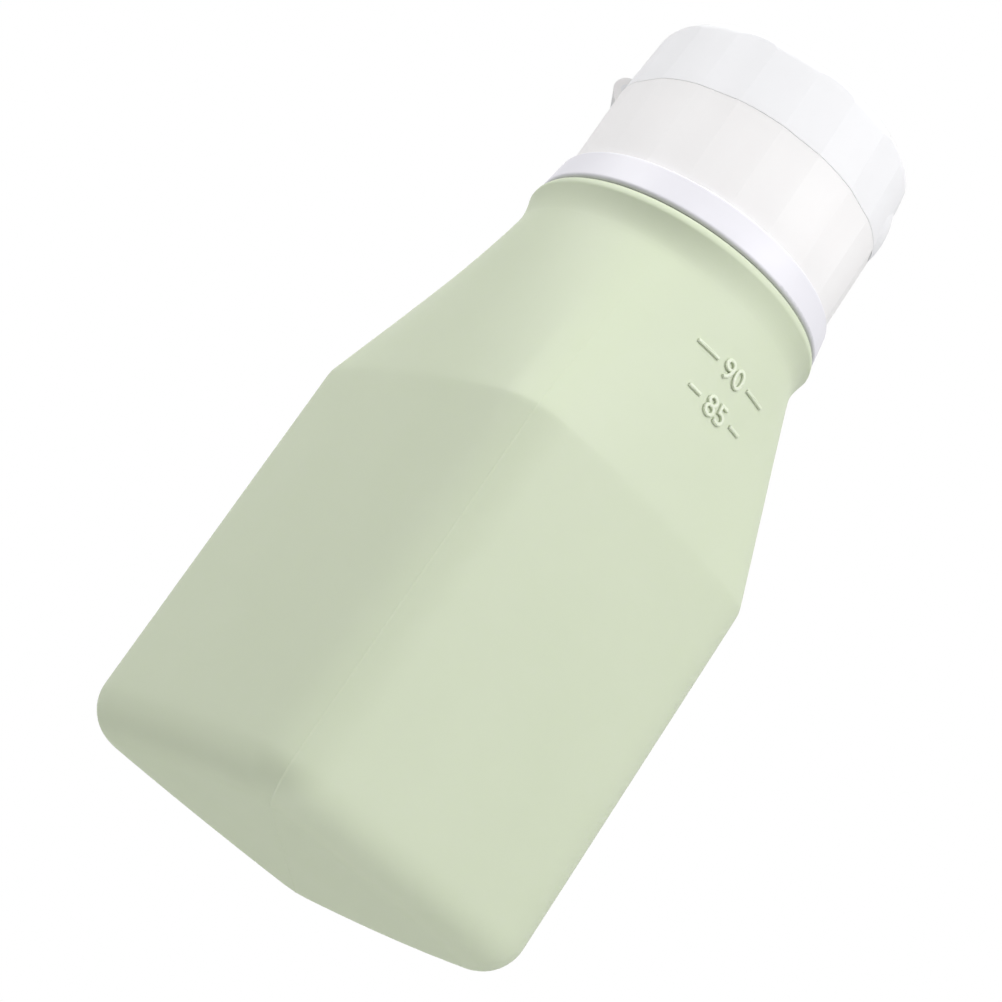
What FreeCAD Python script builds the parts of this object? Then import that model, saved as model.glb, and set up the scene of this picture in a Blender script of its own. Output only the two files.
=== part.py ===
import FreeCAD, Part
import math
import os

from FreeCAD import Vector

# A squeezable silicone travel bottle: a soft hollow body, a hard threaded collar plugged into its mouth,
# and a screw cap that carries a slit valve and a flip lid.
# Millimetres, +Z up along the bottle's axis, origin in the middle of the base.

# Silicone body: a rounded, gently crowned section up to a crease, then a shoulder that runs to a round neck
body_width = 44.0
body_depth = 47.4
face_crown_radius = 120.0
corner_radius = 7.3
base_edge_radius = 5.1
body_wall = 2.2
base_wall = 2.6
crease_height = 49.9
shoulder_height = 26.3
shoulder_top_radius = 18.95
neck_middle_swell = 0.2
neck_height = 5.0
lip_swell = 0.55
lip_edge_radius = 1.2
neck_wall = 2.35

# Collar: a skirt inside the mouth, the white ring that shows, and the threaded neck above it
ring_height = 4.2
ring_setback = 0.3
ring_taper = 0.6
ring_rounding = 0.45
collar_edge = 0.35
skirt_length = 7.0
skirt_wall = 3.1
bead_height = 1.6
bead_depth = 0.4
bead_below_lip = 3.4
threaded_neck_wall = 1.55
threaded_neck_height = 9.1

# Screw thread between the collar and the cap
thread_pitch = 3.6
thread_depth = 1.0
thread_half_root = 1.0
thread_half_crest = 0.6
collar_thread_turns = 1.2
collar_thread_below_rim = 6.2
cap_thread_turns = 1.05
cap_thread_above_edge = 1.5
thread_clearance = 0.35
thread_root_overlap = 0.2

# Screw cap: skirt, deck, boss and nozzle
cap_wall = 1.35
cap_gap = 0.15
deck_thickness = 1.6
facet_count = 10
facet_depth = 0.2
liner_thickness = 1.0
liner_rim_margin = 0.2
seat_gap = 0.05
deck_rim_inset = 1.0
deck_rim_width = 1.0
deck_rim_height = 1.2
boss_radius = 8.0
boss_height = 3.0
nozzle_foot_radius = 4.8
nozzle_tip_radius = 4.2
nozzle_height = 3.5
nozzle_bore = 1.9
valve_chamber_radius = 4.0
valve_chamber_roof = 0.7

# Slit valve and the ring that holds it
valve_radius = 6.75
valve_flange_thickness = 1.1
valve_membrane_thickness = 0.7
valve_membrane_radius = 4.6
valve_slit_length = 5.0
valve_slit_width = 0.2
valve_clearance = 0.05
retainer_bore = 5.0

# Flip lid
seam_gap = 0.05
lid_height = 9.85
lid_taper = 0.6
lid_edge_radius = 1.8
lid_wall = 1.35
lid_top_thickness = 1.5
seal_radius = 5.4
seal_socket_wall = 1.2
seal_socket_depth = 1.4
tab_curve_radius = 9.5
tab_reach = 0.27
tab_middle_height = 2.3

# Lid hinge: two ears of the cap and one barrel of the lid on a pin
knuckle_radius = 1.5
hinge_reach = 0.75
hinge_above_deck = 0.5
hinge_pin_radius = 0.6
hinge_pin_clearance = 0.05
hinge_clearance = 0.3
barrel_length = 4.6
ear_length = 1.8
ear_gusset_foot = 0.5
ear_gusset_drop = 3.0
barrel_gusset_foot = 0.4
barrel_gusset_rise = 2.4

# The flip lid's thumb tab points this far round from +X when the cap is screwed down
cap_rest_angle = -41.0

# Heights along the axis
shoulder_top = crease_height + shoulder_height
mouth_height = shoulder_top + neck_height
ring_top = mouth_height + ring_height
neck_rim = ring_top + threaded_neck_height
cap_edge = ring_top + cap_gap
deck_bottom = neck_rim + liner_thickness + 2 * seat_gap
deck_top = deck_bottom + deck_thickness
lid_edge = deck_top + seam_gap
lid_top = lid_edge + lid_height
lid_ceiling = lid_top - lid_top_thickness
boss_top = deck_top + boss_height
nozzle_top = boss_top + nozzle_height

# Radii that fit one another, from the top of the shoulder through the collar and the cap to the lid
neck_middle_radius = shoulder_top_radius + neck_middle_swell
lip_radius = shoulder_top_radius + lip_swell
neck_bore = neck_middle_radius - neck_wall
ring_foot_radius = lip_radius - ring_setback
ring_top_radius = ring_foot_radius - ring_taper
collar_bore = neck_bore - skirt_wall
threaded_neck_radius = collar_bore + threaded_neck_wall
thread_crest_radius = threaded_neck_radius + thread_depth
cap_bore = thread_crest_radius + thread_clearance
cap_radius = cap_bore + cap_wall
deck_rim_radius = cap_bore - deck_rim_inset
lid_top_radius = cap_radius - lid_taper
valve_pocket_radius = valve_radius + valve_clearance
hinge_x = -(cap_radius + hinge_reach - knuckle_radius)
hinge_z = deck_top + hinge_above_deck

Z_AXIS = Vector(0, 0, 1)
ORIGIN = Vector(0, 0, 0)


def revolve(points):
    """Turn a closed outline of (radius, height) points about the bottle's axis."""
    corners = [Vector(radius, 0, height) for radius, height in points]
    outline = Part.makePolygon(corners + corners[:1])
    return Part.Face(outline).revolve(ORIGIN, Z_AXIS, 360)


def tube(outer, inner, low, high):
    """Straight ring between two heights."""
    return revolve([(inner, low), (outer, low), (outer, high), (inner, high)])


def disc(radius, low, high):
    """Straight round block between two heights."""
    return Part.makeCylinder(radius, high - low, Vector(0, 0, low))


def block(low, high):
    """Box between two opposite corners."""
    size = high - low
    return Part.makeBox(size.x, size.y, size.z, low)


def at_rest(shape):
    """Turn a piece of the cap from its own frame, thumb tab along +X, to where it rests."""
    turned = shape.copy()
    turned.rotate(ORIGIN, Z_AXIS, cap_rest_angle)
    return turned


def arc(start, middle, end):
    """Edge through three points."""
    return Part.Arc(start, middle, end).toShape()


def section_corners(inset):
    """Tangent points of the body's section in the first quarter, with the middle of its corner arc."""
    half_x = body_width / 2 - inset
    half_y = body_depth / 2 - inset
    crown = face_crown_radius - inset
    corner = corner_radius - inset
    centre_x_face = Vector(half_x - crown, 0, 0)
    centre_y_face = Vector(0, half_y - crown, 0)
    between = centre_y_face - centre_x_face
    across = Vector(-between.y, between.x, 0).normalize()
    if across.x < 0:
        across = -across
    reach = math.sqrt((crown - corner) ** 2 - (between.Length / 2) ** 2)
    corner_centre = (centre_x_face + centre_y_face) * 0.5 + across * reach
    on_x_face = centre_x_face + (corner_centre - centre_x_face).normalize() * crown
    on_y_face = centre_y_face + (corner_centre - centre_y_face).normalize() * crown
    outward = (on_x_face + on_y_face - corner_centre * 2).normalize()
    return on_x_face, corner_centre + outward * corner, on_y_face


def body_section(inset, height):
    """Closed outline of the body's section, drawn in by a wall: face arcs and corner arcs in turn."""
    on_x, corner, on_y = section_corners(inset)
    half_x = body_width / 2 - inset
    half_y = body_depth / 2 - inset
    lift = Vector(0, 0, height)

    def place(point, x_sign, y_sign):
        return Vector(point.x * x_sign, point.y * y_sign, 0) + lift

    edges = [
        arc(place(on_x, 1, -1), lift + Vector(half_x, 0, 0), place(on_x, 1, 1)),
        arc(place(on_x, 1, 1), place(corner, 1, 1), place(on_y, 1, 1)),
        arc(place(on_y, 1, 1), lift + Vector(0, half_y, 0), place(on_y, -1, 1)),
        arc(place(on_y, -1, 1), place(corner, -1, 1), place(on_x, -1, 1)),
        arc(place(on_x, -1, 1), lift + Vector(-half_x, 0, 0), place(on_x, -1, -1)),
        arc(place(on_x, -1, -1), place(corner, -1, -1), place(on_y, -1, -1)),
        arc(place(on_y, -1, -1), lift + Vector(0, -half_y, 0), place(on_y, 1, -1)),
        arc(place(on_y, 1, -1), place(corner, 1, -1), place(on_x, 1, -1)),
    ]
    return Part.Wire(edges)


def round_section(radius, height, like):
    """Circle cut into arcs in the same shares of its length as another outline's edges."""
    lengths = [edge.Length for edge in like.OrderedEdges]
    turn = 2 * math.pi / sum(lengths)
    start = -lengths[0] * turn / 2
    edges = []
    for length in lengths:
        angles = (start, start + length * turn / 2, start + length * turn)
        points = [Vector(radius * math.cos(a), radius * math.sin(a), height) for a in angles]
        edges.append(arc(*points))
        start = angles[2]
    return Part.Wire(edges)


def body_form(inset, floor, edge_radius, neck):
    """Body up to the neck: crowned prism with a rounded base edge, then the shoulder."""
    foot = body_section(inset, floor)
    prism = Part.Face(foot).extrude(Vector(0, 0, crease_height - floor))
    base_edges = [e for e in prism.Edges if abs(e.BoundBox.ZMax - floor) < 1e-6]
    prism = prism.makeFillet(edge_radius, base_edges)
    crease = body_section(inset, crease_height)
    shoulder = Part.makeLoft([crease, round_section(neck, shoulder_top, crease)], True, True)
    return prism.fuse(shoulder)


def neck_form():
    """Outside of the neck: hollow in its height, under a lip with a rounded edge."""
    lip_low = mouth_height - lip_edge_radius
    middle_z = shoulder_top + neck_height / 2
    edge_mid = lip_edge_radius * math.sqrt(0.5)
    foot = Vector(shoulder_top_radius, 0, shoulder_top)
    lip = Vector(lip_radius, 0, lip_low)
    crown = Vector(lip_radius - lip_edge_radius, 0, mouth_height)
    turning = Vector(lip_radius - lip_edge_radius + edge_mid, 0, lip_low + edge_mid)
    outline = Part.Wire([
        Part.makeLine(Vector(0, 0, shoulder_top), foot),
        arc(foot, Vector(neck_middle_radius, 0, middle_z), lip),
        arc(lip, turning, crown),
        Part.makeLine(crown, Vector(0, 0, mouth_height)),
        Part.makeLine(Vector(0, 0, mouth_height), Vector(0, 0, shoulder_top)),
    ])
    return Part.Face(outline).revolve(ORIGIN, Z_AXIS, 360)


def bead():
    """Round bead of the collar's skirt, which snaps into a groove of the mouth."""
    middle = mouth_height - bead_below_lip
    inner = neck_bore - bead_depth
    return revolve([
        (inner, middle - bead_height / 2),
        (neck_bore, middle - bead_height / 2),
        (neck_bore + bead_depth, middle),
        (neck_bore, middle + bead_height / 2),
        (inner, middle + bead_height / 2),
    ])


def bottle_cavity():
    """Space inside the silicone body, up to the mouth."""
    hollow = body_form(body_wall, base_wall, base_edge_radius - body_wall, neck_bore)
    return hollow.fuse(disc(neck_bore, shoulder_top, mouth_height))


def squeeze_body():
    """Hollow silicone body with its neck, lip and the groove for the collar's bead."""
    outside = body_form(0, 0, base_edge_radius, shoulder_top_radius).fuse(neck_form())
    return outside.cut(bottle_cavity()).cut(bead()).removeSplitter()


def helical_ridge(root, crest, start, turns):
    """Thread ridge of trapezoid section about the axis, its foot sunk into the wall that carries it."""
    sunk = root - thread_root_overlap if crest > root else root + thread_root_overlap
    corners = [
        Vector(sunk, 0, start - thread_half_root),
        Vector(crest, 0, start - thread_half_crest),
        Vector(crest, 0, start + thread_half_crest),
        Vector(sunk, 0, start + thread_half_root),
    ]
    path = Part.makeHelix(thread_pitch, turns * thread_pitch, root)
    path.translate(Vector(0, 0, start))
    section = Part.makePolygon(corners + corners[:1])
    return Part.Wire(path.Edges).makePipeShell([section], True, True)


def turned_to_height(ridge, rise):
    """Turn a ridge so that it lies on the common helix after being raised by rise."""
    moved = ridge.copy()
    moved.rotate(ORIGIN, Z_AXIS, 360 * rise / thread_pitch)
    return moved


def collar():
    """White ring with its skirt in the mouth and its threaded neck above."""
    skirt_end = mouth_height - skirt_length
    form = revolve([
        (collar_bore, skirt_end),
        (neck_bore - collar_edge, skirt_end),
        (neck_bore, skirt_end + collar_edge),
        (neck_bore, mouth_height),
        (ring_foot_radius, mouth_height),
        (ring_top_radius, ring_top),
        (threaded_neck_radius, ring_top),
        (threaded_neck_radius, neck_rim - collar_edge),
        (threaded_neck_radius - collar_edge, neck_rim),
        (collar_bore, neck_rim),
    ])
    ring_rims = [e for e in form.Edges if e.Closed and e.Curve.Radius > ring_top_radius - ring_rounding]
    form = form.makeFillet(ring_rounding, ring_rims)
    start = neck_rim - collar_thread_below_rim
    ridge = helical_ridge(threaded_neck_radius, thread_crest_radius, start, collar_thread_turns)
    return form.fuse(bead()).fuse(ridge).removeSplitter()


def cap_liner():
    """Sealing washer between the collar's rim and the cap's deck."""
    low = neck_rim + seat_gap
    return tube(cap_bore - thread_clearance, collar_bore + liner_rim_margin, low, low + liner_thickness)


def facet_prism(foot_radius, top_radius, low, high):
    """Many-sided block whose flats stand facet_depth inside two radii, one flat facing the thumb tab."""
    def outline(radius, height):
        corner = (radius - facet_depth) / math.cos(math.pi / facet_count)
        points = []
        for index in range(facet_count):
            angle = 2 * math.pi * (index + 0.5) / facet_count
            points.append(Vector(corner * math.cos(angle), corner * math.sin(angle), height))
        return Part.makePolygon(points + points[:1])

    return Part.makeLoft([outline(foot_radius, low), outline(top_radius, high)], True, True)


def along_hinge(radius, low, high):
    """Round bar on the hinge axis between two places along it."""
    return Part.makeCylinder(radius, high - low, Vector(hinge_x, low, hinge_z), Vector(0, 1, 0))


def ear_spans():
    """Where the cap's two ears lie along the hinge axis."""
    inner = barrel_length / 2 + hinge_clearance
    outer = inner + ear_length
    return [(-outer, -inner), (inner, outer)]


def hinge_end():
    """Half the hinge's length along its axis."""
    return ear_spans()[1][1]


def knuckle(low, high, foot, rise):
    """Hinge knuckle with a gusset that runs off its outer side to a foot in the wall, above or below it."""
    toward = math.atan2(rise, foot)
    spread = math.acos(knuckle_radius / math.hypot(foot, rise))
    touch = toward + math.copysign(spread, rise)
    points = [(knuckle_radius * math.cos(touch), knuckle_radius * math.sin(touch)), (foot, rise), (foot, 0)]
    corners = [Vector(hinge_x + x, low, hinge_z + z) for x, z in points]
    gusset = Part.Face(Part.makePolygon(corners + corners[:1])).extrude(Vector(0, high - low, 0))
    return along_hinge(knuckle_radius, low, high).fuse(gusset)


def ear_room(low, high):
    """Notch in the lid that an ear stands in, high enough for the open lid to pass the ear's gusset."""
    room = knuckle_radius + hinge_clearance
    low_corner = Vector(hinge_x - room, low - hinge_clearance, lid_edge)
    high_corner = Vector(hinge_x + room + lid_wall, high + hinge_clearance, hinge_z + room + hinge_clearance)
    return block(low_corner, high_corner)


def screw_cap():
    """Faceted cap with its thread, deck, nozzle, valve pocket and hinge ears."""
    shell = disc(cap_radius, cap_edge, deck_top)
    shell = shell.common(facet_prism(cap_radius, cap_radius, cap_edge, deck_top))
    shell = shell.cut(disc(cap_bore, cap_edge, deck_bottom))
    rim = tube(deck_rim_radius, deck_rim_radius - deck_rim_width, deck_bottom, deck_top + deck_rim_height)
    nozzle = revolve([
        (0, deck_bottom),
        (boss_radius, deck_bottom),
        (boss_radius, boss_top),
        (nozzle_foot_radius, boss_top),
        (nozzle_tip_radius, nozzle_top),
        (0, nozzle_top),
    ])
    shell = shell.fuse(rim).fuse(nozzle)
    for low, high in ear_spans():
        shell = shell.fuse(knuckle(low, high, ear_gusset_foot, -ear_gusset_drop))
    pocket_top = deck_top + valve_flange_thickness + seat_gap
    shell = shell.cut(disc(valve_pocket_radius, deck_bottom, pocket_top))
    shell = shell.cut(disc(valve_chamber_radius, pocket_top, boss_top - valve_chamber_roof))
    shell = shell.cut(disc(nozzle_bore, pocket_top, nozzle_top))
    barrel_end = barrel_length / 2 + hinge_clearance
    shell = shell.cut(along_hinge(knuckle_radius + hinge_clearance, -barrel_end, barrel_end))
    shell = shell.cut(along_hinge(hinge_pin_radius, -hinge_end(), hinge_end()))
    start = cap_edge + cap_thread_above_edge
    ridge = helical_ridge(cap_bore, cap_bore - thread_depth, start, cap_thread_turns)
    collar_start = neck_rim - collar_thread_below_rim
    ridge = turned_to_height(ridge, start - collar_start + thread_pitch / 2)
    return at_rest(shell.removeSplitter()).fuse(ridge).removeSplitter()


def hinge_pin():
    """Plain pin pressed into the cap's ears."""
    return at_rest(along_hinge(hinge_pin_radius, -hinge_end(), hinge_end()))


def slit_valve():
    """Silicone valve: a flange and a thin membrane with two crossed slits."""
    top = deck_top + valve_flange_thickness
    form = disc(valve_radius, deck_top, top)
    form = form.cut(disc(valve_membrane_radius, deck_top + valve_membrane_thickness, top))
    half_length = valve_slit_length / 2
    half_width = valve_slit_width / 2
    for half_x, half_y in ((half_length, half_width), (half_width, half_length)):
        form = form.cut(block(Vector(-half_x, -half_y, deck_top), Vector(half_x, half_y, top)))
    return at_rest(form)


def valve_retainer():
    """Ring pressed into the pocket under the valve's flange."""
    return tube(valve_pocket_radius, retainer_bore, deck_bottom, deck_top)


def lid_outline(inset, low, high, edge_radius):
    """Round form of the lid between two heights, drawn in by a wall, with a rounded top edge."""
    slope = (lid_top_radius - cap_radius) / lid_height

    def radius_at(height):
        return cap_radius - inset + slope * (height - lid_edge)

    side = Vector(radius_at(high - edge_radius), 0, high - edge_radius)
    crown = Vector(side.x - edge_radius, 0, high)
    swing = edge_radius * math.sqrt(0.5)
    turning = Vector(side.x - edge_radius + swing, 0, high - edge_radius + swing)
    outline = Part.Wire([
        Part.makeLine(Vector(0, 0, low), Vector(radius_at(low), 0, low)),
        Part.makeLine(Vector(radius_at(low), 0, low), side),
        arc(side, turning, crown),
        Part.makeLine(crown, Vector(0, 0, high)),
        Part.makeLine(Vector(0, 0, high), Vector(0, 0, low)),
    ])
    return Part.Face(outline).revolve(ORIGIN, Z_AXIS, 360)


def thumb_tab():
    """Shallow swelling of the lid's wall above its edge, opposite the hinge."""
    middle = Vector(cap_radius + tab_reach - tab_curve_radius, 0, lid_edge + tab_middle_height)
    ball = Part.makeSphere(tab_curve_radius, middle)
    return ball.common(disc(cap_radius + tab_curve_radius, lid_edge, lid_ceiling))


def flip_lid():
    """Faceted lid with a thumb tab, a socket for its seal and the hinge barrel."""
    form = lid_outline(0, lid_edge, lid_top, lid_edge_radius)
    form = form.common(facet_prism(cap_radius, lid_top_radius, lid_edge, lid_top))
    form = form.fuse(thumb_tab())
    form = form.cut(lid_outline(lid_wall, lid_edge, lid_ceiling, lid_edge_radius))
    socket_low = lid_ceiling - seal_socket_depth
    form = form.fuse(tube(seal_radius + seal_socket_wall, seal_radius, socket_low, lid_ceiling))
    for low, high in ear_spans():
        form = form.cut(ear_room(low, high))
    half_barrel = barrel_length / 2
    form = form.fuse(knuckle(-half_barrel, half_barrel, barrel_gusset_foot, barrel_gusset_rise))
    bore = hinge_pin_radius + hinge_pin_clearance
    form = form.cut(along_hinge(bore, -hinge_end(), hinge_end()))
    return at_rest(form.removeSplitter())


def lid_seal():
    """Soft disc in the lid's socket that closes the nozzle."""
    return disc(seal_radius, nozzle_top + seat_gap, lid_ceiling)


PIECES = {
    "squeeze_body": squeeze_body,
    "collar": collar,
    "cap_liner": cap_liner,
    "screw_cap": screw_cap,
    "hinge_pin": hinge_pin,
    "slit_valve": slit_valve,
    "valve_retainer": valve_retainer,
    "flip_lid": flip_lid,
    "lid_seal": lid_seal,
}

os.makedirs("parts", exist_ok=True)
for node, make in PIECES.items():
    piece = make()
    piece.exportStep(f"parts/{node}.step")
    print(node, piece.isValid(), len(piece.Solids), round(piece.Volume, 2))
print("brimful millilitres", round(bottle_cavity().Volume / 1000, 1))
print("height", round(lid_top, 2), "hinge at", round(hinge_x, 3), round(hinge_z, 3))
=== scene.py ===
"""Looks of a travel squeeze bottle: silicone body, white collar and a frosted screw cap with a flip lid.

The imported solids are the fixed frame. The silicone body is remade here as one smooth closed skin with its
softened crease, parting line and raised level scale, and every other piece gets the finish of its plastic.
"""

import logging
import math
from dataclasses import dataclass, field
from enum import Enum

import bpy
import numpy as np
from mathutils import Matrix, Vector


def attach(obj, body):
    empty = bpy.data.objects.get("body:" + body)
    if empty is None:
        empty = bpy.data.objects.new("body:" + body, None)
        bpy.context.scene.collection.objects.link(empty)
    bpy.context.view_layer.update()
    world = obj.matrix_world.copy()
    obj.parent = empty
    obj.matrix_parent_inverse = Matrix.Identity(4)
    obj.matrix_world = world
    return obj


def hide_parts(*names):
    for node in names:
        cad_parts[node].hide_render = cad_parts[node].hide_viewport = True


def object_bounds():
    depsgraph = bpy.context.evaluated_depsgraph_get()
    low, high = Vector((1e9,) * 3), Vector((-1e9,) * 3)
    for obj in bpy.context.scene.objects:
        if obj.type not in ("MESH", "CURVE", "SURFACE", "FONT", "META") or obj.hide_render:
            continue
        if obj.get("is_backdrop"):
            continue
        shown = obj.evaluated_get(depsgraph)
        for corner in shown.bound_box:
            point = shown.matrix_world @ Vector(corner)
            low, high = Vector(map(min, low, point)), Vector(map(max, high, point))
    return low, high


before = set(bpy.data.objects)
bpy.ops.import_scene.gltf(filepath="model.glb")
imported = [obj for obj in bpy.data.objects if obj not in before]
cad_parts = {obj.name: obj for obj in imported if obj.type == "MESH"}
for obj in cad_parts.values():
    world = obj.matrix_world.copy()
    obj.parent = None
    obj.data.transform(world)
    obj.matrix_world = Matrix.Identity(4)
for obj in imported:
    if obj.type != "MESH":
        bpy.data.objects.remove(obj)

MM = 0.001
WHITE = (1.0, 1.0, 1.0, 1.0)
log = logging.getLogger("squeeze_bottle")

Array = np.ndarray
Colour = tuple[float, float, float, float]


def linear(hex_code: str) -> Colour:
    """Turn an sRGB colour into the linear values that shaders take.

    Args:
        hex_code: Colour as "#rrggbb".

    Returns:
        Red, green, blue and an opaque alpha.
    """
    srgb = np.array([int(hex_code[i:i + 2], 16) for i in (1, 3, 5)]) / 255.0
    values = np.where(srgb <= 0.04045, srgb / 12.92, ((srgb + 0.055) / 1.055) ** 2.4)
    return (*(float(v) for v in values), 1.0)


def add_node(tree: bpy.types.NodeTree, kind: str, links: dict | None = None, values: dict | None = None,
             **settings: object) -> bpy.types.Node:
    """Add a shader node with its settings, its fixed socket values and its incoming links.

    Args:
        tree: Node tree that takes the node.
        kind: Blender's identifier of the node type.
        links: Output sockets by the name or number of the input they feed.
        values: Constants by the name or number of their input.
        settings: Properties of the node itself.

    Returns:
        The new node.
    """
    made = tree.nodes.new(kind)
    for name, value in settings.items():
        setattr(made, name, value)
    for name, value in (values or {}).items():
        made.inputs[name].default_value = value
    for name, socket in (links or {}).items():
        tree.links.new(socket, made.inputs[name])
    return made


def scale_for(size_mm: float) -> float:
    """Texture scale, in repeats per metre, for a pattern of the given size in millimetres."""
    return 1.0 / (size_mm * MM)


def new_material(name: str) -> tuple[bpy.types.Material, bpy.types.NodeTree]:
    """Make an empty node material.

    Args:
        name: Name of the finish.

    Returns:
        The material and its cleared node tree.
    """
    material = bpy.data.materials.new(name)
    material.use_nodes = True
    material.node_tree.nodes.clear()
    return material, material.node_tree


def direction(azimuth_deg: float, elevation_deg: float) -> Vector:
    """Point from the bottle towards a place around it.

    Args:
        azimuth_deg: Turn from the front, -Y, towards +X.
        elevation_deg: Rise above the level.

    Returns:
        A vector of length one.
    """
    turn, rise = math.radians(azimuth_deg), math.radians(elevation_deg)
    return Vector((math.sin(turn) * math.cos(rise), -math.cos(turn) * math.cos(rise), math.sin(rise)))


class Body(Enum):
    """Bodies that the scene's own pieces ride on."""

    BOTTLE = "bottle"


@dataclass(frozen=True)
class MouldedSilicone:
    """Silicone rubber, pressed in a blasted steel mould."""

    # To the eye: a dull, dusty skin with one wide soft highlight, an even pigment with faint clouds in it,
    # and a little light going through its edges.
    name: str
    tone: str
    deep_tone: str
    mottle_mm: float = 16.0
    # A blasted mould leaves a grain of about 0.05 mm. It is drawn nine times as coarse, so that it shows.
    grain_mm: float = 0.45
    grain_lift_mm: float = 0.012
    grain_strength: float = 0.35
    roughness_low: float = 0.54
    roughness_high: float = 0.64
    ior: float = 1.41
    glow_weight: float = 0.25
    glow_mm: float = 1.2
    glow_colours: tuple[float, float, float] = (1.0, 1.1, 0.8)

    def build(self) -> bpy.types.Material:
        """Make the material: faint mottling of the pigment over a fine moulded grain.

        Returns:
            The material.
        """
        material, tree = new_material(self.name)
        place = add_node(tree, "ShaderNodeTexCoord").outputs["Object"]
        mottle = add_node(tree, "ShaderNodeTexNoise", {"Vector": place},
                          {"Scale": scale_for(self.mottle_mm), "Detail": 3.0})
        grain = add_node(tree, "ShaderNodeTexNoise", {"Vector": place},
                         {"Scale": scale_for(self.grain_mm), "Detail": 2.0})
        tint = add_node(tree, "ShaderNodeMix", {"Factor": mottle.outputs["Fac"]},
                        {"A": linear(self.tone), "B": linear(self.deep_tone)}, data_type="RGBA")
        dull = add_node(tree, "ShaderNodeMapRange", {"Value": grain.outputs["Fac"]},
                        {"To Min": self.roughness_low, "To Max": self.roughness_high})
        bump = add_node(tree, "ShaderNodeBump", {"Height": grain.outputs["Fac"]},
                        {"Strength": self.grain_strength, "Distance": self.grain_lift_mm * MM})
        skin = add_node(
            tree, "ShaderNodeBsdfPrincipled",
            {"Base Color": tint.outputs["Result"], "Roughness": dull.outputs["Result"],
             "Normal": bump.outputs["Normal"]},
            {"IOR": self.ior, "Subsurface Weight": self.glow_weight,
             "Subsurface Radius": self.glow_colours, "Subsurface Scale": self.glow_mm * MM})
        add_node(tree, "ShaderNodeOutputMaterial", {"Surface": skin.outputs["BSDF"]})
        return material


@dataclass(frozen=True)
class SatinPlastic:
    """White polypropylene, injection-moulded against satin steel."""

    # To the eye: an opaque, faintly cool white with soft-edged highlights and a barely uneven surface.
    name: str
    tone: str
    shade_tone: str
    ripple_mm: float = 5.0
    ripple_lift_mm: float = 0.01
    ripple_strength: float = 0.2
    roughness_low: float = 0.46
    roughness_high: float = 0.56
    ior: float = 1.49

    def build(self) -> bpy.types.Material:
        """Make the material: slow tone drift, and a shallow ripple left by the mould.

        Returns:
            The material.
        """
        material, tree = new_material(self.name)
        place = add_node(tree, "ShaderNodeTexCoord").outputs["Object"]
        ripple = add_node(tree, "ShaderNodeTexNoise", {"Vector": place},
                          {"Scale": scale_for(self.ripple_mm), "Detail": 2.0})
        tint = add_node(tree, "ShaderNodeMix", {"Factor": ripple.outputs["Fac"]},
                        {"A": linear(self.tone), "B": linear(self.shade_tone)}, data_type="RGBA")
        dull = add_node(tree, "ShaderNodeMapRange", {"Value": ripple.outputs["Fac"]},
                        {"To Min": self.roughness_low, "To Max": self.roughness_high})
        bump = add_node(tree, "ShaderNodeBump", {"Height": ripple.outputs["Fac"]},
                        {"Strength": self.ripple_strength, "Distance": self.ripple_lift_mm * MM})
        skin = add_node(
            tree, "ShaderNodeBsdfPrincipled",
            {"Base Color": tint.outputs["Result"], "Roughness": dull.outputs["Result"],
             "Normal": bump.outputs["Normal"]},
            {"IOR": self.ior})
        add_node(tree, "ShaderNodeOutputMaterial", {"Surface": skin.outputs["BSDF"]})
        return material


@dataclass(frozen=True)
class FrostedPlastic:
    """Natural polypropylene, injection-moulded without pigment."""

    # To the eye: milky, between clear and white. Its flat facets differ only a little, because light spreads
    # in the wall, and haze lies in soft streaks where the melt flowed up the mould.
    name: str
    tone: str
    haze_tone: str
    clearness: float = 0.12
    streak_mm: float = 6.0
    streak_stretch: float = 0.2
    ripple_lift_mm: float = 0.02
    ripple_strength: float = 0.3
    roughness_low: float = 0.58
    roughness_high: float = 0.7
    ior: float = 1.49
    glow_weight: float = 0.35
    glow_mm: float = 0.6
    glow_colours: tuple[float, float, float] = (1.0, 1.0, 1.0)

    def build(self) -> bpy.types.Material:
        """Make the material: a light-spreading body whose tone, gloss and flatness drift in streaks.

        Returns:
            The material.
        """
        material, tree = new_material(self.name)
        place = add_node(tree, "ShaderNodeTexCoord").outputs["Object"]
        drawn = add_node(tree, "ShaderNodeMapping", {"Vector": place},
                         {"Scale": (1.0, 1.0, self.streak_stretch)})
        streak = add_node(tree, "ShaderNodeTexNoise", {"Vector": drawn.outputs["Vector"]},
                          {"Scale": scale_for(self.streak_mm), "Detail": 3.0})
        tint = add_node(tree, "ShaderNodeMix", {"Factor": streak.outputs["Fac"]},
                        {"A": linear(self.tone), "B": linear(self.haze_tone)}, data_type="RGBA")
        dull = add_node(tree, "ShaderNodeMapRange", {"Value": streak.outputs["Fac"]},
                        {"To Min": self.roughness_low, "To Max": self.roughness_high})
        bump = add_node(tree, "ShaderNodeBump", {"Height": streak.outputs["Fac"]},
                        {"Strength": self.ripple_strength, "Distance": self.ripple_lift_mm * MM})
        skin = add_node(
            tree, "ShaderNodeBsdfPrincipled",
            {"Base Color": tint.outputs["Result"], "Roughness": dull.outputs["Result"],
             "Normal": bump.outputs["Normal"]},
            {"IOR": self.ior, "Transmission Weight": self.clearness, "Subsurface Weight": self.glow_weight,
             "Subsurface Radius": self.glow_colours, "Subsurface Scale": self.glow_mm * MM})
        add_node(tree, "ShaderNodeOutputMaterial", {"Surface": skin.outputs["BSDF"]})
        return material


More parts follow.
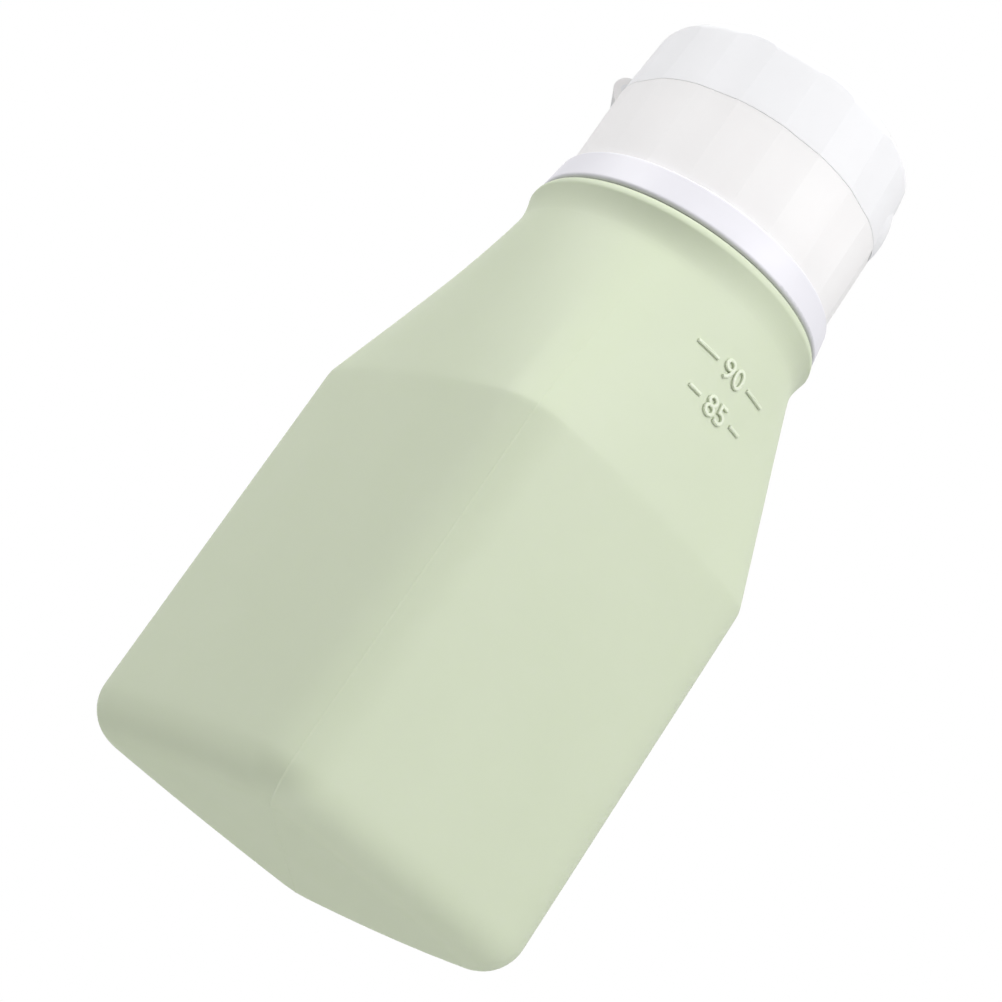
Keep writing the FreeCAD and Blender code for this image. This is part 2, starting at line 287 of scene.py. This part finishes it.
@dataclass(frozen=True)
class FoamedPlastic:
    """Foamed polyethylene, die-cut from sheet for a cap's liner."""

    # To the eye: a chalky, quite dull white whose closed cells pit the skin like fine sponge.
    name: str
    tone: str
    # Tone in the deepest part of each dent: painted shade.
    pit_shade_tone: str
    # The real cells are about 0.1 mm across. They are drawn at more than three times that, so that they show.
    cell_mm: float = 0.35
    pit_mm: float = 0.03
    pit_strength: float = 0.6
    roughness: float = 0.75

    def build(self) -> bpy.types.Material:
        """Make the material: fine cells that dent the surface, each dent darkened with painted shade.

        Returns:
            The material.
        """
        material, tree = new_material(self.name)
        place = add_node(tree, "ShaderNodeTexCoord").outputs["Object"]
        cells = add_node(tree, "ShaderNodeTexVoronoi", {"Vector": place}, {"Scale": scale_for(self.cell_mm)})
        # The tone darkens towards each cell's middle, where it dents deepest: painted shade.
        tint = add_node(tree, "ShaderNodeMix", {"Factor": cells.outputs["Distance"]},
                        {"A": linear(self.pit_shade_tone), "B": linear(self.tone)}, data_type="RGBA")
        bump = add_node(tree, "ShaderNodeBump", {"Height": cells.outputs["Distance"]},
                        {"Strength": self.pit_strength, "Distance": self.pit_mm * MM})
        skin = add_node(tree, "ShaderNodeBsdfPrincipled",
                        {"Base Color": tint.outputs["Result"], "Normal": bump.outputs["Normal"]},
                        {"Roughness": self.roughness})
        add_node(tree, "ShaderNodeOutputMaterial", {"Surface": skin.outputs["BSDF"]})
        return material


@dataclass(frozen=True)
class Section:
    """Rounded, crowned rectangle of the silicone body, in millimetres.

    Each quarter is a shallow face arc, a corner arc and another face arc, tangent to one another. The outline
    is read by its share of the whole length, from the middle of the +X face and anticlockwise.
    """

    width: float = 44.0
    depth: float = 47.4
    crown: float = 120.0
    corner: float = 7.3

    def face_centres(self) -> tuple[Array, Array]:
        """Centres of the face arcs on +X and +Y, one crown radius behind the middle of each face."""
        return np.array([self.width / 2 - self.crown, 0.0]), np.array([0.0, self.depth / 2 - self.crown])

    def corner_centre(self) -> Array:
        """Find the centre of the first quarter's corner arc, which touches both face arcs from inside.

        It lies on the line that halves the two face centres' distance, so far out that its own distance
        from each of them is the difference of the two radii.

        Returns:
            The centre's x and y.
        """
        x_centre, y_centre = self.face_centres()
        between = y_centre - x_centre
        half = np.linalg.norm(between) / 2
        outward = np.array([-between[1], between[0]]) / (2 * half)
        outward = outward * np.sign(outward[0])
        reach = math.sqrt((self.crown - self.corner) ** 2 - half ** 2)
        return (x_centre + y_centre) / 2 + outward * reach

    def turn_angles(self) -> tuple[float, float]:
        """Find the directions in which the first quarter's face arcs hand over to the corner arc.

        Returns:
            Angles from +X, in radians: of the first hand-over and of the second.
        """
        x_centre, y_centre = self.face_centres()
        from_x, from_y = self.corner_centre() - x_centre, self.corner_centre() - y_centre
        return math.atan2(from_x[1], from_x[0]), math.atan2(from_y[1], from_y[0])

    def quarter_lengths(self) -> Array:
        """Measure the three arcs of the first quarter: each is its radius times the angle that it turns.

        Returns:
            The lengths, in order.
        """
        first, second = self.turn_angles()
        return np.array([self.crown * first, self.corner * (second - first),
                         self.crown * (math.pi / 2 - second)])

    def outline(self, share: Array) -> tuple[Array, Array]:
        """Find points and outward directions of the outline.

        The share is folded into the first quarter, read there along the three arcs, and mirrored back.

        Args:
            share: Shares of the whole length, from 0 to 1.

        Returns:
            Points and unit normals, one row of x and y for each share.
        """
        first, second = self.turn_angles()
        face_x, bend, face_y = self.quarter_lengths()
        turns = np.mod(share, 1.0) * 4
        index = np.floor(turns).astype(int)
        folded = np.where(index % 2 == 0, turns - index, 1 - (turns - index)) * (face_x + bend + face_y)
        on_face_x = folded < face_x
        on_bend = (~on_face_x) & (folded < face_x + bend)
        angle = np.select(
            [on_face_x, on_bend],
            [folded / self.crown, first + (folded - face_x) / self.corner],
            second + (folded - face_x - bend) / self.crown)
        normal = np.stack([np.cos(angle), np.sin(angle)], axis=-1)
        radius = np.where(on_bend, self.corner, self.crown)[:, None]
        x_centre, y_centre = self.face_centres()
        centre = np.where(on_bend[:, None], self.corner_centre(), y_centre)
        centre = np.where(on_face_x[:, None], x_centre, centre)
        right = (index == 0) | (index == 3)
        sign = np.stack([np.where(right, 1.0, -1.0), np.where(index < 2, 1.0, -1.0)], axis=-1)
        return (centre + radius * normal) * sign, normal * sign


def soft_ramp(rise: Array, soft: float) -> Array:
    """Ramp that is flat below zero and rises one for one above it, with the bend rounded by a hyperbola.

    The ramp is half the sum of the rise and the root of its square plus the square of the softness.

    Args:
        rise: Where to read the ramp.
        soft: Size of the rounding.

    Returns:
        The ramp's values.
    """
    return (rise + np.sqrt(rise ** 2 + soft ** 2)) / 2


def circle_points(share: Array, radius: Array) -> Array:
    """Points of circles about the axis: the cosine and the sine of the share of a turn, times the radius."""
    turn = 2 * math.pi * share
    return np.stack([np.cos(turn), np.sin(turn)], axis=-1) * radius


def closed_mesh(name: str, points: Array) -> bpy.types.Mesh:
    """Make a closed mesh from a grid of points that runs round on itself along its second axis.

    Args:
        name: Name of the mesh.
        points: Grid of rows, columns and x, y, z in millimetres. Rows run so that faces point outwards,
            and the first and last rows are single points, each joined by a fan.

    Returns:
        The mesh, smooth shaded.
    """
    columns = points.shape[1]
    body = points[1:-1]
    index = np.arange(body.shape[0] * columns).reshape(-1, columns)
    beside = np.roll(index, -1, axis=1)
    first, last = index.size, index.size + 1
    quads = np.stack([index[:-1], beside[:-1], beside[1:], index[1:]], axis=-1).reshape(-1, 4)
    first_fan = np.stack([np.full(columns, first), beside[0], index[0]], axis=-1)
    last_fan = np.stack([np.full(columns, last), index[-1], beside[-1]], axis=-1)
    places = np.concatenate([body.reshape(-1, 3), points[0, :1], points[-1, :1]])
    mesh = bpy.data.meshes.new(name)
    mesh.from_pydata((places * MM).tolist(), [], quads.tolist() + first_fan.tolist() + last_fan.tolist())
    mesh.polygons.foreach_set("use_smooth", np.ones(len(mesh.polygons), bool))
    mesh.update()
    return mesh


def place_piece(name: str, mesh: bpy.types.Mesh, material: bpy.types.Material,
                body: Body) -> bpy.types.Object:
    """Put a mesh into the scene as a piece that rides on a body.

    Args:
        name: Name of the piece.
        mesh: Its mesh, already in place.
        material: Its finish.
        body: Body that carries it.

    Returns:
        The piece's object.
    """
    piece = bpy.data.objects.new(name, mesh)
    bpy.context.scene.collection.objects.link(piece)
    mesh.materials.append(material)
    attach(piece, body.value)
    log.info("piece %s: %d faces on %s", name, len(mesh.polygons), body.value)
    return piece


@dataclass(frozen=True)
class BodyRows:
    """Rows of the body's skin: how far each lies inside the section, how high, how round, and how wide."""

    inset: Array
    height: Array
    round_share: Array
    radius: Array
    spread: Array


@dataclass(frozen=True)
class GridCounts:
    """Columns and rows that each stretch of the body's grid gets."""

    face: int = 14
    corner: int = 26
    seam: int = 17
    base: int = 20
    base_edge: int = 16
    side: int = 22
    crease: int = 25
    shoulder: int = 36
    neck: int = 40
    lip: int = 10
    bore: int = 6
    inner_shoulder: int = 16
    inner_side: int = 10
    inner_edge: int = 8
    inner_floor: int = 10


@dataclass
class SqueezeBody:
    """Hollow silicone body, remade as one closed skin: up from the base's middle, over the lip, down inside.

    Sizes are in millimetres. The bands are stretches with closer rows.
    """

    section: Section = field(default_factory=Section)
    counts: GridCounts = field(default_factory=GridCounts)
    base_edge: float = 5.1
    wall: float = 2.2
    floor: float = 2.6
    crease: float = 49.9
    shoulder: float = 26.3
    shoulder_radius: float = 18.95
    neck_middle_radius: float = 19.15
    lip_radius: float = 19.5
    lip_edge: float = 1.2
    neck: float = 5.0
    neck_wall: float = 2.35
    crease_soft: float = 0.35
    crease_band: float = 2.0
    neck_soft: float = 0.8
    neck_band: float = 3.0
    seam_lift: float = 0.04
    seam_width: float = 0.13
    seam_reach: float = 4.0

    @property
    def shoulder_top(self) -> float:
        """Height where the shoulder has become round."""
        return self.crease + self.shoulder

    @property
    def mouth(self) -> float:
        """Height of the lip's top."""
        return self.shoulder_top + self.neck

    @property
    def lip_low(self) -> float:
        """Height where the lip's rounding begins."""
        return self.mouth - self.lip_edge

    def columns(self) -> Array:
        """Choose the grid's columns: close together on the corners and closest at the parting line.

        Half the outline is a quarter and its mirror image, and the other half repeats it.

        Returns:
            Shares of the whole outline, rising from 0.
        """
        lengths = self.section.quarter_lengths()
        quarter = lengths.sum()
        knots = np.concatenate([[0.0], np.cumsum(lengths)])
        counts = (self.counts.face, self.counts.corner, self.counts.face)
        rising = np.concatenate([np.linspace(low, high, count, endpoint=False)
                                 for low, high, count in zip(knots[:-1], knots[1:], counts)])
        falling = 2 * quarter - np.concatenate([rising[1:], [quarter]])[::-1]
        reach = self.seam_reach * self.seam_width
        seam = knots[1] + lengths[1] / 2 + np.linspace(-reach, reach, self.counts.seam)
        half = np.unique(np.concatenate([rising, falling, seam]))
        return np.concatenate([half, half + 2 * quarter]) / (4 * quarter)

    def round_share(self, height: Array) -> Array:
        """Tell how far the outside has turned into a circle, from 0 below the crease to 1 at the neck.

        A soft ramp that starts at the crease, less one that starts at the shoulder's top, over the shoulder's
        height: straight between, and rounded at the crease and the neck's foot.

        Args:
            height: Heights above the base.

        Returns:
            Shares of the circle.
        """
        ramp = soft_ramp(height - self.crease, self.crease_soft)
        return (ramp - soft_ramp(height - self.shoulder_top, self.neck_soft)) / self.shoulder

    def neck_radius(self, height: Array) -> Array:
        """Find the neck's outside radius: a parabola from the shoulder through its middle to the lip.

        Args:
            height: Heights above the base.

        Returns:
            Radii, with the shoulder's own below its top.
        """
        middle = self.shoulder_top + self.neck / 2
        shape = np.polyfit([self.shoulder_top, middle, self.lip_low],
                           [self.shoulder_radius, self.neck_middle_radius, self.lip_radius], 2)
        return np.where(height > self.shoulder_top, np.polyval(shape, height), self.shoulder_radius)

    def outside_rows(self) -> BodyRows:
        """Choose the rows from the middle of the base to the lip's top.

        They cover the flat base, its edge as a quarter circle, the side, the shoulder, the neck, and the lip
        as another quarter circle.

        Returns:
            The rows, upwards.
        """
        counts = self.counts
        spread = np.linspace(0.0, 1.0, counts.base)[:-1]
        turn = np.linspace(0, math.pi / 2, counts.base_edge)
        low, high = self.crease - self.crease_band, self.crease + self.crease_band
        neck_low = self.shoulder_top - self.neck_band
        rise = np.unique(np.concatenate([
            np.linspace(self.base_edge, low, counts.side)[1:],
            np.linspace(low, high, counts.crease),
            np.linspace(high, neck_low, counts.shoulder),
            np.linspace(neck_low, self.lip_low, counts.neck)]))
        over = np.linspace(0, math.pi / 2, counts.lip)[1:]
        flat = len(spread) + len(turn)
        height = np.concatenate([np.zeros_like(spread), self.base_edge * (1 - np.cos(turn)), rise,
                                 self.lip_low + self.lip_edge * np.sin(over)])
        inset = np.concatenate([np.full_like(spread, self.base_edge), self.base_edge * (1 - np.sin(turn)),
                                np.zeros(len(rise) + len(over))])
        share = np.concatenate([np.zeros(flat), self.round_share(rise), np.ones_like(over)])
        radius = np.concatenate([np.full(flat, self.shoulder_radius), self.neck_radius(rise),
                                 self.lip_radius - self.lip_edge * (1 - np.cos(over))])
        wide = np.concatenate([spread, np.ones(len(height) - len(spread))])
        return BodyRows(inset, height, share, radius, wide)

    def inside_rows(self) -> BodyRows:
        """Choose the rows from the mouth's bore down the inside to the middle of the floor.

        Returns:
            The rows, downwards.
        """
        counts = self.counts
        bore = self.neck_middle_radius - self.neck_wall
        edge = self.base_edge - self.wall
        drop = np.concatenate([
            np.linspace(self.mouth, self.shoulder_top, counts.bore),
            np.linspace(self.shoulder_top, self.crease, counts.inner_shoulder)[1:],
            np.linspace(self.crease, self.floor + edge, counts.inner_side)[1:]])
        turn = np.linspace(math.pi / 2, 0, counts.inner_edge)[1:]
        spread = np.linspace(1.0, 0.0, counts.inner_floor)[1:]
        height = np.concatenate([drop, self.floor + edge * (1 - np.cos(turn)),
                                 np.full_like(spread, self.floor)])
        inset = np.concatenate([np.full_like(drop, self.wall), self.wall + edge * (1 - np.sin(turn)),
                                np.full_like(spread, self.base_edge)])
        share = np.concatenate([np.clip((drop - self.crease) / self.shoulder, 0, 1),
                                np.zeros(len(turn) + len(spread))])
        wide = np.concatenate([np.ones(len(drop) + len(turn)), spread])
        return BodyRows(inset, height, share, np.full_like(height, bore), wide)

    def skin(self, rows: BodyRows) -> Array:
        """Lay out the points of some rows.

        A point is the section's point moved in along its normal by the row's inset and spread from the axis,
        mixed with the point of the row's circle at the same share of the way round.

        Args:
            rows: The rows.

        Returns:
            Grid of rows, columns and x, y, z.
        """
        share = self.columns()
        outline, normal = self.section.outline(share)
        drawn_in = (outline - rows.inset[:, None, None] * normal) * rows.spread[:, None, None]
        circle = circle_points(share, rows.radius[:, None, None])
        mix = rows.round_share[:, None, None]
        flat = (1 - mix) * drawn_in + mix * circle
        height = np.broadcast_to(rows.height[:, None, None], (*flat.shape[:2], 1))
        return np.concatenate([flat, height], axis=-1)

    def raised_seam(self, points: Array) -> Array:
        """Lift the skin along the parting plane, which cuts two opposite corners.

        The ridge is a narrow bell of the distance from that plane, along the skin's normal, and dies away
        up the shoulder, where it has been trimmed.

        Args:
            points: Grid of the outside.

        Returns:
            The grid with its ridge.
        """
        lengths = self.section.quarter_lengths()
        seam_share = np.array([(lengths[0] + lengths[1] / 2) / (4 * lengths.sum())])
        corner, _ = self.section.outline(seam_share)
        along = corner[0] / np.linalg.norm(corner[0])
        away = points[..., 0] * along[1] - points[..., 1] * along[0]
        trimmed = np.clip((self.shoulder_top - points[..., 2]) / self.shoulder, 0.0, 1.0)
        lift = self.seam_lift * trimmed * np.exp(-(away / self.seam_width) ** 2)
        ahead = np.gradient(points, axis=0)
        around = (np.roll(points, -1, axis=1) - np.roll(points, 1, axis=1)) / 2
        normal = np.cross(around, ahead)
        length = np.linalg.norm(normal, axis=-1, keepdims=True)
        # The middle of the base is one point, where the normal has no length and simply points down.
        nothing = 1e-12
        normal = np.where(length > nothing, normal / np.maximum(length, nothing), np.array([0.0, 0.0, -1.0]))
        return points + normal * lift[..., None]

    def outside_at(self, share: Array, height: Array) -> Array:
        """Find points of the outside: the section's point mixed with the circle's, as in the skin.

        Args:
            share: Shares of the way round.
            height: Heights, one for each share.

        Returns:
            One row of x, y and z for each pair.
        """
        outline, _ = self.section.outline(share)
        circle = circle_points(share, self.neck_radius(height)[:, None])
        mix = self.round_share(height)[:, None]
        return np.column_stack([(1 - mix) * outline + mix * circle, height])

    def front_share(self, across: Array, height: Array) -> Array:
        """Find where on the front the outside has a given x, by halving the front's width again and again.

        Args:
            across: Values of x.
            height: Heights, one for each.

        Returns:
            Shares of the way round.
        """
        front_start, front_end, halvings = 0.65, 0.85, 30
        low, high = np.full_like(across, front_start), np.full_like(across, front_end)
        for _ in range(halvings):
            middle = (low + high) / 2
            short = self.outside_at(middle, height)[:, 0] < across
            low = np.where(short, middle, low)
            high = np.where(short, high, middle)
        return (low + high) / 2

    def level_of(self, percent: float) -> float:
        """Find the height at which the hollow is filled to a share.

        The area of each inside row is summed over height from the floor up, as trapezoids.

        Args:
            percent: How full the hollow is.

        Returns:
            The height above the base.
        """
        rows = self.inside_rows()
        points = self.skin(rows)[::-1]
        ahead = np.roll(points, -1, axis=1)
        area = (points[..., 0] * ahead[..., 1] - ahead[..., 0] * points[..., 1]).sum(axis=1) / 2
        height = rows.height[::-1]
        filled = np.concatenate([[0.0], np.cumsum((area[1:] + area[:-1]) / 2 * np.diff(height))])
        return float(np.interp(percent / 100, filled / filled[-1], height))

    def build(self, finish: bpy.types.Material) -> bpy.types.Object:
        """Make the body's skin, stand it for the solid body and let it ride on the bottle.

        Args:
            finish: The body's material.

        Returns:
            The piece's object.
        """
        outside = self.raised_seam(self.skin(self.outside_rows()))
        points = np.concatenate([outside, self.skin(self.inside_rows())])
        piece = place_piece("silicone_body", closed_mesh("silicone_body", points), finish, Body.BOTTLE)
        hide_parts("squeeze_body")
        return piece


@dataclass(frozen=True)
class LevelMark:
    """One row of the level scale: how full the hollow is there, in percent, between two dashes."""

    percent: int
    dash: float


@dataclass
class LevelScale:
    """Fill marks moulded on the front of the shoulder: each number stands across the level that it names.

    Sizes are in millimetres.
    """

    body: SqueezeBody
    marks: tuple[LevelMark, ...] = (LevelMark(90, 3.2), LevelMark(85, 1.8))
    middle: float = 0.4
    numeral_size: float = 3.7
    numeral_half: float = 2.1
    curve_steps: int = 5
    dash_gap: float = 0.75
    dash_height: float = 0.3
    dash_points: int = 8
    swell: float = 0.05
    lift: float = 0.34
    sunk: float = 0.25
    edge: float = 0.14
    edge_steps: int = 3

    def flat_form(self, curve: bpy.types.Curve) -> tuple[Array, list[list[int]]]:
        """Thicken a flat outline into a plate with rounded edges.

        Args:
            curve: Outline in millimetres.

        Returns:
            Points across, up from the form's middle and out of the skin, and the faces.
        """
        curve.fill_mode = "BOTH"
        curve.extrude = (self.lift + self.sunk) / 2 - self.edge
        curve.offset = self.swell - self.edge
        curve.bevel_depth = self.edge
        curve.bevel_resolution = self.edge_steps
        carrier = bpy.data.objects.new(curve.name, curve)
        mesh = bpy.data.meshes.new_from_object(carrier)
        flat = np.empty(len(mesh.vertices) * 3, np.float32)
        mesh.vertices.foreach_get("co", flat)
        points = flat.reshape(-1, 3).astype(float)
        centre = (points[:, 1].min() + points[:, 1].max()) / 2
        points += np.array([0.0, -centre, (self.lift - self.sunk) / 2])
        faces = [list(face.vertices) for face in mesh.polygons]
        bpy.data.meshes.remove(mesh)
        bpy.data.objects.remove(carrier)
        return points, faces

    def numeral(self, mark: LevelMark) -> bpy.types.Curve:
        """Draw a mark's number, centred across.

        Args:
            mark: The mark.

        Returns:
            Its outline.
        """
        curve = bpy.data.curves.new("level_number", "FONT")
        curve.body = str(mark.percent)
        curve.size = self.numeral_size
        curve.align_x = "CENTER"
        curve.resolution_u = self.curve_steps
        return curve

    def dash(self, start: float, length: float) -> bpy.types.Curve:
        """Draw a dash along the level's line: there along its lower edge, and back along its upper one.

        Args:
            start: Where it starts, across from the number's middle.
            length: How long it is.

        Returns:
            Its outline.
        """
        curve = bpy.data.curves.new("level_dash", "CURVE")
        curve.dimensions = "2D"
        count = self.dash_points
        across = np.linspace(start, start + length, count)
        low = np.column_stack([across, np.zeros(count)])
        high = np.column_stack([across[::-1], np.full(count, self.dash_height)])
        outline = np.column_stack([np.concatenate([low, high]), np.zeros(2 * count), np.ones(2 * count)])
        spline = curve.splines.new("POLY")
        spline.points.add(len(outline) - 1)
        spline.points.foreach_set("co", outline.ravel())
        spline.use_cyclic_u = True
        return curve

    def wrap(self, points: Array, level: float) -> Array:
        """Lay flat points on the shoulder's front.

        Each point's place across and up is found on the outside, and moved along the normal there, which is
        the cross product of two short steps, around and upwards.

        Args:
            points: Points across, up and out of the skin, in millimetres.
            level: Height of their middle line.

        Returns:
            Places in millimetres.
        """
        height = points[:, 1] + level
        share = self.body.front_share(points[:, 0] + self.middle, height)
        aside, above = 1e-4, 1e-2
        place = self.body.outside_at
        around = place(share + aside, height) - place(share - aside, height)
        upward = place(share, height + above) - place(share, height - above)
        normal = np.cross(around, upward)
        normal /= np.linalg.norm(normal, axis=1, keepdims=True)
        return place(share, height) + normal * points[:, 2:]

    def build(self, finish: bpy.types.Material) -> bpy.types.Object:
        """Make the marks as one piece of the bottle's silicone.

        Args:
            finish: The marks' material.

        Returns:
            The piece's object.
        """
        places: list[Array] = []
        faces: list[list[int]] = []
        offset = 0
        reach = self.numeral_half + self.dash_gap
        for mark in self.marks:
            level = self.body.level_of(mark.percent)
            outlines = (self.numeral(mark), self.dash(-reach - mark.dash, mark.dash),
                        self.dash(reach, mark.dash))
            for outline in outlines:
                points, plate = self.flat_form(outline)
                places.append(self.wrap(points, level))
                faces += [[corner + offset for corner in face] for face in plate]
                offset += len(points)
            log.info("level %d percent at %.2f mm", mark.percent, level)
        mesh = bpy.data.meshes.new("level_scale")
        mesh.from_pydata((np.concatenate(places) * MM).tolist(), [], faces)
        mesh.update()
        piece = place_piece("level_scale", mesh, finish, Body.BOTTLE)
        return piece


@dataclass(frozen=True)
class Viewpoint:
    """Where the photograph was taken from: below the base, with the camera rolled over."""

    place_mm: tuple[float, float, float] = (-154.42, -239.90, -37.90)
    azimuth_deg: float = -32.34
    elevation_deg: float = -16.59
    roll_deg: float = 34.46
    lens_mm: float = 93.44
    sensor_mm: float = 36.0
    nearest_mm: float = 10.0

    def build(self) -> bpy.types.Object:
        """Make the camera and hand it to the scene.

        The camera's back points in its own direction, and its right side is the level one rolled about that.

        Returns:
            The camera's object.
        """
        turn, roll = math.radians(self.azimuth_deg), math.radians(self.roll_deg)
        back = direction(self.azimuth_deg, self.elevation_deg)
        level = Vector((math.cos(turn), math.sin(turn), 0.0))
        right = level * math.cos(roll) + back.cross(level) * math.sin(roll)
        lens = bpy.data.cameras.new("photo_camera")
        lens.lens = self.lens_mm
        lens.sensor_width = self.sensor_mm
        lens.clip_start = self.nearest_mm * MM
        camera = bpy.data.objects.new("photo_camera", lens)
        bpy.context.scene.collection.objects.link(camera)
        axes = Matrix((right, back.cross(right), back)).transposed().to_4x4()
        camera.matrix_world = Matrix.Translation(Vector(self.place_mm) * MM) @ axes
        bpy.context.scene.camera = camera
        return camera


@dataclass(frozen=True)
class Lamp:
    """A soft square lamp that looks at the bottle from a direction and distance."""

    name: str
    azimuth_deg: float
    elevation_deg: float
    watts: float
    size_m: float = 0.6
    distance_m: float = 1.2

    def build(self, target: Vector) -> bpy.types.Object:
        """Make the lamp, hidden from the camera itself.

        Args:
            target: Point that the lamp looks at.

        Returns:
            The lamp's object.
        """
        back = direction(self.azimuth_deg, self.elevation_deg)
        light = bpy.data.lights.new(self.name, "AREA")
        light.energy = self.watts
        light.size = self.size_m
        lamp = bpy.data.objects.new(self.name, light)
        bpy.context.scene.collection.objects.link(lamp)
        lamp.location = target + back * self.distance_m
        lamp.rotation_mode = "QUATERNION"
        lamp.rotation_quaternion = (-back).to_track_quat("-Z", "Y")
        lamp.visible_camera = False
        return lamp


@dataclass(frozen=True)
class Studio:
    """Plain white studio: even light all round, soft lamps, and a pale floor that is seen only from above."""

    fill_level: float = 0.3
    floor_tone: str = "#d4d4d4"
    floor_half_m: float = 3.0
    floor_drop_mm: float = 0.4
    fade_near_m: float = 0.15
    fade_far_m: float = 0.7
    lamps: tuple[Lamp, ...] = (
        Lamp("right_lamp", 15.0, 35.0, 12.1),
        Lamp("front_lamp", -35.0, 35.0, 3.2),
        Lamp("left_lamp", -110.0, 35.0, 10.0),
        Lamp("low_lamp", 0.0, -80.0, 8.0),
        Lamp("back_lamp", 150.0, 8.0, 5.0),
    )

    def seen_ray(self, tree: bpy.types.NodeTree) -> bpy.types.NodeSocket:
        """Tell the rays that show a background, which are the camera's, glossy and transmitted ones.

        Args:
            tree: Node tree that asks.

        Returns:
            Socket that is 1 for those rays and 0 for the rest.
        """
        path = add_node(tree, "ShaderNodeLightPath").outputs
        either = add_node(tree, "ShaderNodeMath", {0: path["Is Camera Ray"], 1: path["Is Glossy Ray"]},
                          operation="MAXIMUM")
        return add_node(tree, "ShaderNodeMath", {0: either.outputs[0], 1: path["Is Transmission Ray"]},
                        operation="MAXIMUM").outputs[0]

    def build_world(self) -> None:
        """Make the world: white where it is seen, and an even grey light where it lights."""
        world = bpy.data.worlds.new("white_studio")
        world.use_nodes = True
        tree = world.node_tree
        tree.nodes.clear()
        light = add_node(tree, "ShaderNodeBackground", values={"Color": WHITE, "Strength": self.fill_level})
        white = add_node(tree, "ShaderNodeBackground", values={"Color": WHITE, "Strength": 1.0})
        mix = add_node(tree, "ShaderNodeMixShader", {0: self.seen_ray(tree), 1: light.outputs[0],
                                                     2: white.outputs[0]})
        add_node(tree, "ShaderNodeOutputWorld", {"Surface": mix.outputs[0]})
        bpy.context.scene.world = world

    def floor_material(self) -> bpy.types.Material:
        """Make the floor's finish: pale with the bottle's shadow from above, clear from below.

        It turns to plain white with the distance from the bottle, so that no horizon shows. Light passes
        through it, as the photograph shows the base lit from all round.

        Returns:
            The material.
        """
        material, tree = new_material("studio_floor")
        pale = add_node(tree, "ShaderNodeBsdfDiffuse", values={"Color": linear(self.floor_tone)})
        white = add_node(tree, "ShaderNodeEmission", values={"Strength": 1.0})
        place = add_node(tree, "ShaderNodeTexCoord").outputs["Object"]
        away = add_node(tree, "ShaderNodeVectorMath", {0: place}, operation="LENGTH")
        fade = add_node(tree, "ShaderNodeMapRange", {"Value": away.outputs["Value"]},
                        {"From Min": self.fade_near_m, "From Max": self.fade_far_m},
                        interpolation_type="SMOOTHSTEP")
        sweep = add_node(tree, "ShaderNodeMixShader", {0: fade.outputs["Result"], 1: pale.outputs[0],
                                                       2: white.outputs[0]})
        clear = add_node(tree, "ShaderNodeBsdfTransparent")
        below = add_node(tree, "ShaderNodeNewGeometry").outputs["Backfacing"]
        shown = add_node(tree, "ShaderNodeMath", {0: self.seen_ray(tree), 1: below}, operation="SUBTRACT",
                         use_clamp=True)
        mix = add_node(tree, "ShaderNodeMixShader", {0: shown.outputs[0], 1: clear.outputs[0],
                                                     2: sweep.outputs[0]})
        add_node(tree, "ShaderNodeOutputMaterial", {"Surface": mix.outputs[0]})
        return material

    def build(self, target: Vector) -> None:
        """Make the world, the floor and the lamps.

        Args:
            target: Point that the lamps look at.
        """
        self.build_world()
        half, low = self.floor_half_m, -self.floor_drop_mm * MM
        mesh = bpy.data.meshes.new("studio_floor")
        mesh.from_pydata([(-half, -half, low), (half, -half, low), (half, half, low), (-half, half, low)],
                         [], [(0, 1, 2, 3)])
        floor = bpy.data.objects.new("studio_floor", mesh)
        bpy.context.scene.collection.objects.link(floor)
        mesh.materials.append(self.floor_material())
        floor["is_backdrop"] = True
        for lamp in self.lamps:
            lamp.build(target)
        bpy.context.scene.view_settings.view_transform = "Standard"


def dress(node: str, material: bpy.types.Material) -> None:
    """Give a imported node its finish.

    Args:
        node: Name of the node.
        material: Its finish.
    """
    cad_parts[node].material_slots[0].material = material
    log.info("node %s: %s", node, material.name)


def main() -> None:
    """Build every piece in order."""
    logging.basicConfig(level=logging.INFO, format="%(message)s")
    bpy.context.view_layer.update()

    sage = MouldedSilicone("moulded_silicone_sage", "#c6ceb7", "#c1cab1")
    body = SqueezeBody()
    body.build(sage.build())
    # The marks are cut bright into the mould, so they come out smoother than the blasted skin.
    # Their paler tone is a painted highlight on the raised numbers.
    marks = MouldedSilicone("polished_silicone_sage_painted_highlight", "#d2dac4", "#ced6bf",
                            roughness_low=0.4, roughness_high=0.5)
    LevelScale(body).build(marks.build())

    dress("collar", SatinPlastic("polypropylene_white", "#dcdbe1", "#d8d7dd").build())
    dress("screw_cap", FrostedPlastic("natural_polypropylene_cap", "#f3f2f2", "#efeded").build())
    dress("flip_lid", FrostedPlastic("natural_polypropylene_lid", "#eeeef0", "#eaeaec").build())
    dress("hinge_pin", SatinPlastic("polypropylene_pin", "#ececee", "#e6e6e9", ripple_mm=1.5).build())
    dress("valve_retainer",
          SatinPlastic("polypropylene_retainer", "#e9e9ea", "#e3e3e5", ripple_mm=2.0).build())
    # The second tone is painted shade in the foam's dents.
    dress("cap_liner", FoamedPlastic("foamed_polyethylene", "#ebeae6", "#d8d7d2").build())
    clear = MouldedSilicone("moulded_silicone_clear", "#e8e9e4", "#dfe1db",
                            mottle_mm=3.0, glow_weight=0.7).build()
    dress("slit_valve", clear)
    dress("lid_seal", clear)

    low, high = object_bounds()
    Studio().build((low + high) / 2)
    Viewpoint().build()


if __name__ == "__main__":
    main()
